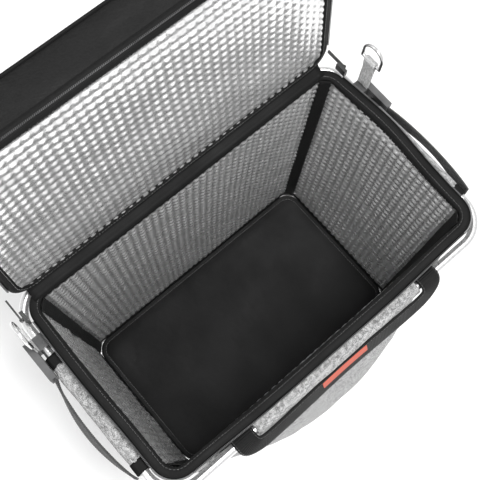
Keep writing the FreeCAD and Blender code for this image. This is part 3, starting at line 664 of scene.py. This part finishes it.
def lid():
    z = LID_LOW
    inset = 0.0070
    step = CELL / 6
    xs = np.arange(-HALF_X + inset - 0.003, HALF_X - inset + 0.003, step)
    ys = np.arange(-HALF_Y + inset - 0.003, HALF_Y - inset + 0.003, step)
    x, y = np.meshgrid(xs, ys)
    rows = np.stack([x, y, np.full_like(x, z - 0.0002)], -1)
    swell = 0.0030 * wave(rows, 11, 21.0) + 0.0010 * wave(rows, 30, 5.0)
    edge = smooth((HALF_X - inset - np.abs(x)) / 0.04) * smooth((HALF_Y - inset - np.abs(y)) / 0.04)
    rows[..., 2] -= 0.0015 * pillow(x / CELL, y / CELL) + edge * (swell + 0.0015)
    verts, faces = grid(rows)
    r = RADIUS - inset + 0.012
    cx, cy = HALF_X - inset + 0.003 - r, HALF_Y - inset + 0.003 - r
    beyond = np.hypot(np.maximum(np.abs(verts[:, 0]) - cx, 0), np.maximum(np.abs(verts[:, 1]) - cy, 0)) > r
    faces = [f for f in faces if not any(beyond[i] for i in f)]
    kept = sorted({i for f in faces for i in f})
    renumber = {old: new for new, old in enumerate(kept)}
    faces = [[renumber[i] for i in f] for f in faces]
    piece("lid_foil_panel", (opened(verts[kept]), faces), FOIL, "lid", ["lid_foil", "lid_foam"])
    band = [(-inset - 0.0016, z + 0.0010), (-inset - 0.0018, z - 0.0016), (-inset + 0.0002, z - 0.0024),
            (-0.0050, z - 0.0022), (-0.0028, z - 0.0020), (-0.0008, z - 0.0012), (0.0002, z + 0.0004),
            (0.0002, z + 0.0030), (-0.0012, z + 0.0034), (-0.0045, z + 0.0012)]
    edge_band = lid_sweep(band, crumple=0.0006, seed=8.0)
    piece("lid_binding_band", edge_band, BINDING, "lid", ["lid_binding"])
    seam = at_level(outline(inset - 0.0004, 0.004, 10)[0], z - 0.0026)
    piece("lid_stitch", stitches(opened(seam), 0.0022, 0.0013, 0.0003, True), THREAD, "lid")
    gusset()
    tape = [(0.0003, z + 0.0052), (0.0012, z + 0.0054), (0.0016, z + 0.0030), (0.0016, z + 0.0006),
            (0.0012, z - 0.0006), (0.0004, z - 0.0006), (0.0003, z + 0.0020)]
    piece("lid_zip_tape_woven", lid_sweep(tape, whole=False), ZIP_TAPE, "lid", ["lid_zip_tape"])
    zip_coil("lid_zip_coil_wound", z - 0.0008, "lid_zip_coil", "lid", opened)
    line = opened(at_level(outline(-0.0008, 0.004, 12)[0], LID_HIGH - 0.0014))
    cord = tube(line, 0.0016, 10, closed=True)
    piece("lid_piping_cord", cord, BINDING, "lid", ["lid_piping"])


def gusset():
    """The black band between the lid's two faces, with soft folds in it."""
    levels = np.linspace(LID_LOW + 0.002, LID_HIGH - 0.0012, 14)
    rows = []
    for z in levels:
        t = (z - LID_LOW) / (LID_HIGH - LID_LOW)
        puff = 0.0008 * math.sin(math.pi * t)
        points, normal = outline(-puff, 0.005, 10)
        rows.append(at_level(points, z))
    rows = np.array(rows)
    normal = np.append(normal, np.zeros((len(normal), 1)), 1)[None]
    t = (rows[..., 2] - LID_LOW) / (LID_HIGH - LID_LOW)
    rows += normal * (0.0014 * np.sin(np.pi * t) * wave(rows * [1, 1, 1.5], 26, 3.0))[..., None]
    piece("lid_gusset_band", (lambda g: (opened(g[0]), g[1]))(grid(rows.transpose(1, 0, 2), close_u=True)),
          SATIN, "lid", ["lid_gusset_front", "lid_gusset_back", "lid_gusset_left", "lid_gusset_right"])


def lid_top():
    """The padded top: a slab swollen by a short cloth simulation."""
    profile = [(0.002, LID_HIGH - 0.010), (0.0012, LID_HIGH - 0.004), (0.002, LID_HIGH - 0.0015),
               (0.006, LID_HIGH - 0.0004), (0.02, LID_HIGH), (0.05, LID_HIGH),
               (0.08, LID_HIGH), (0.1, LID_HIGH)]
    rows = np.array([at_level(outline(i, 0.006, 8)[0], z) for i, z in profile])
    verts, faces = grid(rows.transpose(1, 0, 2), close_u=True)
    count = len(profile)
    faces.append([i * count + count - 1 for i in range(rows.shape[1])])
    faces.append([i * count for i in range(rows.shape[1])][::-1])
    obj = piece("lid_top_pad", (verts, faces), HEATHER, None)
    swollen(obj, 0.005, 4.0, 0.006)
    data = obj.data
    points = np.zeros(len(data.vertices) * 3)
    data.vertices.foreach_get("co", points)
    points = points.reshape(-1, 3)
    points[:, 2] = np.clip(points[:, 2], LID_HIGH - 0.012, LID_HIGH + 0.0058)
    data.vertices.foreach_set("co", opened(points).ravel())
    data.update()
    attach(obj, "lid")
    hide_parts("lid_top", "lid_padding")


def swollen(obj, voxel, pressure, cap, frames_run=20):
    """Remeshes a closed form, swells it as cloth and limits how far each point moves."""
    remesh = obj.modifiers.new("remesh", "REMESH")
    remesh.mode = "VOXEL"
    remesh.voxel_size = voxel
    remesh.use_smooth_shade = True
    apply_modifiers(obj)
    before = np.zeros(len(obj.data.vertices) * 3)
    obj.data.vertices.foreach_get("co", before)
    cloth = obj.modifiers.new("cloth", "CLOTH")
    cloth.settings.use_pressure = True
    cloth.settings.uniform_pressure_force = pressure
    cloth.settings.effector_weights.gravity = 0
    cloth.settings.quality = 5
    cloth.point_cache.frame_start = 1
    cloth.point_cache.frame_end = frames_run
    for number in range(1, frames_run + 1):
        bpy.context.scene.frame_set(number)
    apply_modifiers(obj)
    bpy.context.scene.frame_set(1)
    after = np.zeros(len(obj.data.vertices) * 3)
    obj.data.vertices.foreach_get("co", after)
    move = (after - before).reshape(-1, 3)
    size = np.linalg.norm(move, axis=1)[:, None]
    move *= np.minimum(1, cap / np.maximum(size, 1e-9))
    obj.data.vertices.foreach_set("co", (before.reshape(-1, 3) + move).ravel())
    finer = obj.modifiers.new("finer", "SUBSURF")
    finer.levels = 1
    finer.render_levels = 1
    apply_modifiers(obj)
    obj.data.polygons.foreach_set("use_smooth", [True] * len(obj.data.polygons))


def apply_modifiers(obj):
    """The mesh as its modifiers leave it, with none left."""
    graph = bpy.context.evaluated_depsgraph_get()
    mesh = bpy.data.meshes.new_from_object(obj.evaluated_get(graph))
    obj.modifiers.clear()
    old = obj.data
    obj.data = mesh
    bpy.data.meshes.remove(old)


lid()
lid_top()


def hinge():
    """Fabric from behind the rim, over the fold line and onto the lid's binding."""
    lo, hi = low("hinge_strip"), high("hinge_strip")
    xs = np.linspace(lo[0] - 0.012, hi[0] + 0.012, 61)
    line = np.array([(HALF_Y - 0.0105, RIM_Z + 0.0014), (HALF_Y - 0.006, RIM_Z + 0.0020),
                     (HALF_Y - 0.002, RIM_Z + 0.0026), (HALF_Y + 0.0006, RIM_Z + 0.0038),
                     (HALF_Y + 0.0022, RIM_Z + 0.0062), (HALF_Y + 0.0030, RIM_Z + 0.0095),
                     (HALF_Y + 0.0036, RIM_Z + 0.0130)])
    rows = np.array([[(x, y, z) for x in xs] for y, z in line])
    rows[..., 1] += 0.0004 * wave(rows, 40, 2.0)
    obj = piece("hinge_fold", grid(rows), BINDING, None, ["hinge_strip"])
    thicken(obj)
    apply_modifiers(obj)
    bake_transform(obj)


hinge()


# ---------------------------------------------------------------- tube sleeves and their end tapes
def sleeve_profile(wall=0.0012):
    """The tunnel's section as (outward, height) round the tube, with a skirt sewn to the wall below."""
    r = TUBE_R + 0.0003 + wall
    centre = TUBE_X - HALF_X
    turns = np.radians(np.linspace(78, -62, 12))
    over = [(centre + r * math.cos(a), TUBE_Z + r * math.sin(a)) for a in turns]
    line = [(0.0005, TUBE_Z + r + 0.0004), (centre * 0.55, TUBE_Z + r + 0.0002)] + over
    line += [(centre * 0.5, TUBE_Z - r - 0.004), (0.0016, TUBE_Z - r - 0.008), (0.0010, TUBE_Z - r - 0.0128)]
    return np.array(line)


def sleeve(name, side, start_at, end_at, material, stands_for=(), fat=0.0, seed=1.0):
    """A fabric tunnel along one side; fat moves it outwards, over another."""
    profile = sleeve_profile()
    taper = TAPER_X if side in ("right", "left") else TAPER_Y
    profile[-2:, 0] -= taper * (1 - profile[-2:, 1] / RIM_Z)
    count = max(6, int(abs(end_at - start_at) / 0.004))
    along = np.linspace(start_at, end_at, count)
    rows = np.zeros((count, len(profile), 3))
    for i, t in enumerate(along):
        out = profile[:, 0] + fat
        z = profile[:, 1]
        if side in ("right", "left"):
            rows[i] = np.column_stack([HALF_X + out, np.full(len(out), t), z])
        else:
            rows[i] = np.column_stack([np.full(len(out), t), -HALF_Y - out, z])
    pinch = smooth((along - start_at) / 0.02) * smooth((end_at - along) / 0.02)
    reach = profile[:, 0] / profile[:, 0].max()
    fold = 0.0007 * wave(rows, 45, seed) + 0.0006 * pinch[:, None] * reach[None]
    axis = 0 if side in ("right", "left") else 1
    rows[..., axis] += (1 if axis == 0 else -1) * fold
    rows[..., 2] += 0.0005 * wave(rows, 50, seed + 3) * reach[None]
    if side == "left":
        rows[..., 0] *= -1
    if side == "back":
        rows[..., 1] *= -1
    obj = piece(name, grid(rows), material, stands_for=stands_for)
    thicken(obj)
    return obj


def sleeves():
    reach_x = high("sleeve_front")[0]
    sleeve("front_sleeve", "front", -reach_x, reach_x, HEATHER, ["sleeve_front"], seed=1.0)
    sleeve("rear_sleeve", "back", -reach_x, reach_x, HEATHER, ["sleeve_back"], seed=4.0)
    y0, y1 = low("sleeve_right")[1], high("sleeve_right")[1]
    t0, t1 = low("sleeve_tapes_right")[1], high("sleeve_tapes_right")[1]
    for side, seed in (("right", 7.0), ("left", 9.0)):
        sleeve("%s_sleeve" % side, side, y0 - 0.001, y1 + 0.001, HEATHER, ["sleeve_" + side], seed=seed)
        for end, a, b in (("rear", y1, t1), ("fore", t0, y0)):
            sleeve("%s_sleeve_tape_%s" % (side, end), side, a, b, BINDING,
                   ["sleeve_tapes_" + side] if end == "rear" else (), 0.0007, seed + 2)


sleeves()


# ---------------------------------------------------------------- pockets
BELLY_AT = (0, 0.01, 0.1, 0.25, 0.4, 0.55, 0.7, 0.82, 0.92, 1)
FRONT_BELLY = (0.02, 0.25, 0.62, 0.86, 0.97, 1.0, 0.95, 0.80, 0.58, 0.40)
SIDE_BELLY = (0.02, 0.3, 0.62, 0.86, 0.97, 1.0, 0.98, 0.94, 0.88, 0.80)


def pocket(side, node_name, seed, belly):
    """A slack open-topped pocket: its belly swells out below a mouth that lies nearer the wall."""
    lo, hi = low(node_name), high(node_name)
    axis = 1 if side == "front" else 0
    across = 1 - axis
    a, b = lo[across], hi[across]
    half, taper = (HALF_Y, TAPER_Y) if axis == 1 else (HALF_X, TAPER_X)
    top, foot = hi[2], lo[2]
    bulge = max(-lo[axis], hi[axis]) - inward(half, taper, top)
    columns, rises = 65, 50
    u = np.linspace(0, 1, columns)
    t = np.linspace(0, 1, rises)
    chord = (b - a) / 2
    radius = (chord ** 2 + bulge ** 2) / (2 * bulge)
    x = (u - 0.5) * 2 * chord
    arch = np.sqrt(radius ** 2 - x ** 2) - (radius - bulge)
    full = np.interp(t, BELLY_AT, belly)
    out = arch[None] * full[:, None] + 0.0008
    z = foot + (top - foot) * t
    z = np.repeat(z[:, None], columns, 1)
    droop = 0.006 * (1 - (2 * u - 1) ** 2)[None] * smooth((t - 0.7) / 0.3)[:, None]
    z = z - droop
    rows = np.zeros((rises, columns, 3))
    rows[..., across] = (a + b) / 2 + x[None]
    rows[..., axis] = inward(half, taper, z) + out
    rows[..., 2] = z
    pleat = np.exp(-(((np.abs(x) - chord * 0.8) / (chord * 0.09)) ** 2))[None]
    pleat = pleat * (1 - smooth(t / 0.8))[:, None]
    loose = smooth(u / 0.12) * smooth((1 - u) / 0.12)
    fold = 0.0022 * wave(rows * [1, 1, 0.5], 22, seed) + 0.0008 * wave(rows, 70, seed + 2)
    rows[..., axis] += (fold * loose[None] - 0.0045 * pleat) * np.minimum(1, out / 0.01)
    if side in ("front", "left"):
        rows[..., axis] *= -1
    return rows


def pocket_pieces(name, side, node_name, seed, belly):
    rows = pocket(side, node_name, seed, belly)
    sheet = piece(name, grid(rows), HEATHER, stands_for=[node_name])
    thicken(sheet)
    edge = rows[-1]
    aside = frames(edge)[1]
    hem = np.array([(-0.0014, -0.011), (0.0014, -0.011), (0.0017, -0.004), (0.0016, 0.0006), (0.0, 0.0014),
                    (-0.0016, 0.0006), (-0.0017, -0.004)])
    body = edge[:, None] + aside[:, None] * hem[None, :, :1] + np.array([0, 0, 1.0]) * hem[None, :, 1:]
    piece(name + "_hem", grid(body, close_v=True, caps=True), HEATHER)
    proud = aside * (0.0018 if (aside[len(aside) // 2] @ (edge[len(edge) // 2] * [1, 1, 0])) > 0 else -0.0018)
    seam = edge + proud - np.array([0, 0, 0.0085])
    piece(name + "_hem_stitch", stitches(seam), THREAD)


pocket_pieces("front_pocket_cloth", "front", "front_pocket", 3.0, FRONT_BELLY)
pocket_pieces("right_pocket_cloth", "right", "side_pocket_right", 6.0, SIDE_BELLY)
pocket_pieces("left_pocket_cloth", "left", "side_pocket_left", 8.0, SIDE_BELLY)


# ---------------------------------------------------------------- carry grips
def grip(name, node_name, body, sign):
    """A webbing strap: round the tube at each end, then twisting into one tilted run."""
    lo, hi = low(node_name), high(node_name)
    end_x = hi[0] - 0.0125
    wrap = TUBE_R + 0.0004 + GRIP_THICK / 2
    deep = abs(lo[1] if sign < 0 else hi[1])
    centre, across, face = [], [], []
    # round the tube: from below it, behind it and over the top to its outer side
    for angle in np.radians(np.linspace(-115, 125, 46)):
        centre.append((-end_x, -TUBE_Y + wrap * math.cos(angle), TUBE_Z + wrap * math.sin(angle)))
        across.append((-1, 0, 0))
        face.append((0, math.cos(angle), math.sin(angle)))
    turn_start = np.array(centre[-1])
    run_start = np.array((-end_x + 0.026, -deep + 0.0058, TUBE_Z - 0.0095))
    p0, p3 = turn_start, run_start
    p1 = p0 + 0.010 * np.array((0, -math.sin(angle), math.cos(angle)))
    p2 = p3 - np.array((0.017, 0, 0.0))
    w1 = np.array((0, -math.sin(GRIP_TILT), -math.cos(GRIP_TILT)))
    for t in np.linspace(0, 1, 60)[1:]:
        point = (1 - t) ** 3 * p0 + 3 * t * (1 - t) ** 2 * p1 + 3 * t * t * (1 - t) * p2 + t ** 3 * p3
        slope = 3 * (1 - t) ** 2 * (p1 - p0) + 6 * t * (1 - t) * (p2 - p1) + 3 * t * t * (p3 - p2)
        slope /= np.linalg.norm(slope)
        blendw = np.array((-1, 0, 0)) * (1 - smooth(t)) + w1 * smooth(t)
        blendw -= slope * (blendw @ slope)
        blendw /= np.linalg.norm(blendw)
        centre.append(point)
        across.append(blendw)
        face.append(-np.cross(slope, blendw))
    half_run = []
    for x in np.linspace(run_start[0], 0, 200)[1:]:
        t = (x - run_start[0]) / -run_start[0]
        sag = smooth(t)
        half_run.append((x, run_start[1] + 0.0016 * sag, run_start[2] - 0.0015 * sag))
    centre += half_run
    across += [w1] * len(half_run)
    face += [(0, -math.cos(GRIP_TILT), math.sin(GRIP_TILT))] * len(half_run)
    centre, across, face = np.array(centre), np.array(across, float), np.array(face, float)
    mirror = np.array((-1, 1, 1))
    centre = np.vstack([centre, (centre * mirror)[-2::-1]])
    across = np.vstack([across, (across * mirror)[-2::-1]])
    face = np.vstack([face, (face * mirror)[-2::-1]])
    if sign > 0:
        flip = np.array((1, -1, 1))
        centre, across, face = centre * flip, across * flip, face * flip
    both, _ = resampled(np.hstack([centre, across, face]), 0.00045)
    centre, across, face = both[:, :3], both[:, 3:6], both[:, 6:]
    across /= np.linalg.norm(across, axis=1)[:, None]
    face /= np.linalg.norm(face, axis=1)[:, None]
    strap = ribbon(centre, across, face, GRIP_WIDE, GRIP_THICK, 0.13, GRIP_RIB)
    piece(name, strap, WEBBING, body, [node_name])
    rows = []
    lift = face * (GRIP_THICK / 2 + 0.0001)
    for edge in (-0.43, 0.43):
        line = centre + across * GRIP_WIDE * edge + lift
        rows.append(stitches(line[60:-60], 0.0022, 0.0012, 0.0003))
    piece(name + "_stitch", join(*rows), THREAD, body)
    return centre, across, face


front = grip("front_grip_strap", "handle_front", "front_grip", -1)
grip("rear_grip_strap", "handle_back", "back_grip", 1)


def label():
    """The blank coral patch on the upper half of the front grip."""
    centre, across, face = front
    near = np.abs(centre[:, 0]) <= high("handle_label")[0]
    middle = centre[near] - across[near] * 0.0058 + face[near] * 0.0021
    patch = ribbon(middle, across[near], face[near], LABEL_WIDE, LABEL_THICK)
    piece("grip_label", patch, LABEL, "front_grip", ["handle_label"])
    rows = [stitches(middle + across[near] * s * 0.0036 + face[near] * 0.0006, 0.0018, 0.001, 0.00022)
            for s in (-1, 1)]
    piece("grip_label_stitch", join(*rows), LABEL, "front_grip")


label()


# ---------------------------------------------------------------- rear corner fittings
def side_straps():
    lo, hi = low("side_strap_right"), high("side_strap_right")
    for side, s in (("right", 1), ("left", -1)):
        ys = np.linspace(hi[1] + 0.004, lo[1], 160)
        t = (ys - ys[0]) / (ys[-1] - ys[0])
        x = lo[0] + 0.0016 + (hi[0] - lo[0] - 0.002) * np.sin(np.pi * t) ** 0.8
        z = (lo[2] + hi[2]) / 2 - 0.002 * np.sin(np.pi * t)
        centre = np.column_stack([s * x, ys, z])
        tangent = frames(centre)[0]
        lean = math.radians(14) * np.sin(np.pi * t)
        across = np.column_stack([s * np.sin(lean), np.zeros(len(ys)), -np.cos(lean)])
        across -= tangent * (across * tangent).sum(1)[:, None]
        across /= np.linalg.norm(across, axis=1)[:, None]
        face = np.cross(tangent, across)
        both, _ = resampled(np.hstack([centre, across, face]), 0.0005)
        strap = ribbon(both[:, :3], both[:, 3:6], both[:, 6:], STRAP_WIDE, STRAP_THICK, 0.12, 0.002)
        piece("side_strap_%s_woven" % side, strap, STRAP, "bag", ["side_strap_" + side])


def ring_loops():
    """Webbing folded over the ring's bar, with its two layers sewn together below."""
    lo, hi = low("ring_loop_right"), high("ring_loop_right")
    bar = low("d_ring_right")[2] + 0.0018
    middle = (lo[0] + hi[0]) / 2
    width = (hi - lo)[1]
    y = (lo[1] + hi[1]) / 2
    for side, s in (("right", 1), ("left", -1)):
        radius = (hi[0] - lo[0]) / 2 - 0.0005
        turns = np.radians(np.linspace(0, 180, 19))
        arch = [(radius * math.cos(a), bar + radius * math.sin(a)) for a in turns]
        line = [(0.0009, lo[2] + 0.001), (0.0009, bar - 0.016), (0.0016, bar - 0.010),
                (radius * 0.9, bar - 0.004)]
        line = line + arch + [(-u, z) for u, z in line[::-1]]
        path = np.array([(s * (middle + u), y, z) for u, z in line])
        path, _ = resampled(path, 0.0005)
        tangent = frames(path, (0, 1, 0))[0]
        across = np.tile([0.0, 1.0, 0.0], (len(path), 1))
        face = np.cross(tangent, across)
        loop = ribbon(path, across, face, width, CLOTH, 0.15, 0.0016)
        piece("ring_loop_%s_woven" % side, loop, LOOP_CLOTH, "bag", ["ring_loop_" + side])


side_straps()
ring_loops()


def hard_parts():
    """CAD parts whose shape is right, given their finishes and a softened edge."""
    finishes = {"frame_tube": (TUBE, 0), "corner_bracket_right": (BRACKET, 0.0014),
                "corner_bracket_left": (BRACKET, 0.0014),
                "d_ring_right": (CHROME, 0), "d_ring_left": (CHROME, 0),
                "zip_slider_right": (SLIDER, 0.0006), "zip_slider_left": (SLIDER, 0.0006),
                "zip_pull_right": (SLIDER, 0.0003), "zip_pull_left": (SLIDER, 0.0003),
                "base_foam": (FOAM, 0), "base_liner": (FOIL, 0)}
    for name, (material, round_off) in finishes.items():
        obj = frame["nodes"][name]
        obj.data.materials.clear()
        obj.data.materials.append(material)
        if round_off:
            bevel = obj.modifiers.new("edge", "BEVEL")
            bevel.width = round_off
            bevel.segments = 3
            bevel.limit_method = "ANGLE"


hard_parts()


# ---------------------------------------------------------------- stage, light, camera
def stage():
    mesh = bpy.data.meshes.new("ground")
    corners = [(x, y, -0.0004) for x, y in ((-4, -4), (4, -4), (4, 4), (-4, 4))]
    mesh.from_pydata(corners, [], [(0, 1, 2, 3)])
    ground = bpy.data.objects.new("ground", mesh)
    bpy.context.scene.collection.objects.link(ground)
    mesh.materials.append(start("ground_paint", Roughness=0.9, Base_Color=(0.97, 0.97, 0.97, 1))[0])
    world = bpy.data.worlds.new("studio")
    bpy.context.scene.world = world
    world.use_nodes = True
    world.node_tree.nodes["Background"].inputs[0].default_value = (1, 1, 1, 1)
    world.node_tree.nodes["Background"].inputs[1].default_value = 0.8
    for name, place_at, size, power in (("key", (0.15, -0.35, 1.9), 0.45, 26),
                                        ("fill", (-1.2, -0.6, 1.6), 1.0, 8)):
        light = bpy.data.lights.new(name, "AREA")
        light.size = size
        light.energy = power
        lamp = bpy.data.objects.new(name, light)
        bpy.context.scene.collection.objects.link(lamp)
        lamp.location = place_at
        aim = Vector((0, 0, 0.2)) - Vector(place_at)
        lamp.rotation_euler = aim.to_track_quat("-Z", "Y").to_euler()


def camera():
    data = bpy.data.cameras.new("camera")
    data.lens = 62.6
    data.sensor_width = 36
    cam = bpy.data.objects.new("camera", data)
    bpy.context.scene.collection.objects.link(cam)
    right = Vector((0.75567, -0.65402, 0.03476))
    up = Vector((0.61771, 0.72935, 0.29407))
    back = Vector((-0.21768, -0.20074, 0.95515))
    turn = Matrix((right, up, back)).transposed()
    cam.matrix_world = Matrix.Translation((-0.1729, -0.1371, 1.0697)) @ turn.to_4x4()
    bpy.context.scene.camera = cam


stage()
camera()
bpy.context.scene.view_settings.view_transform = "Standard"
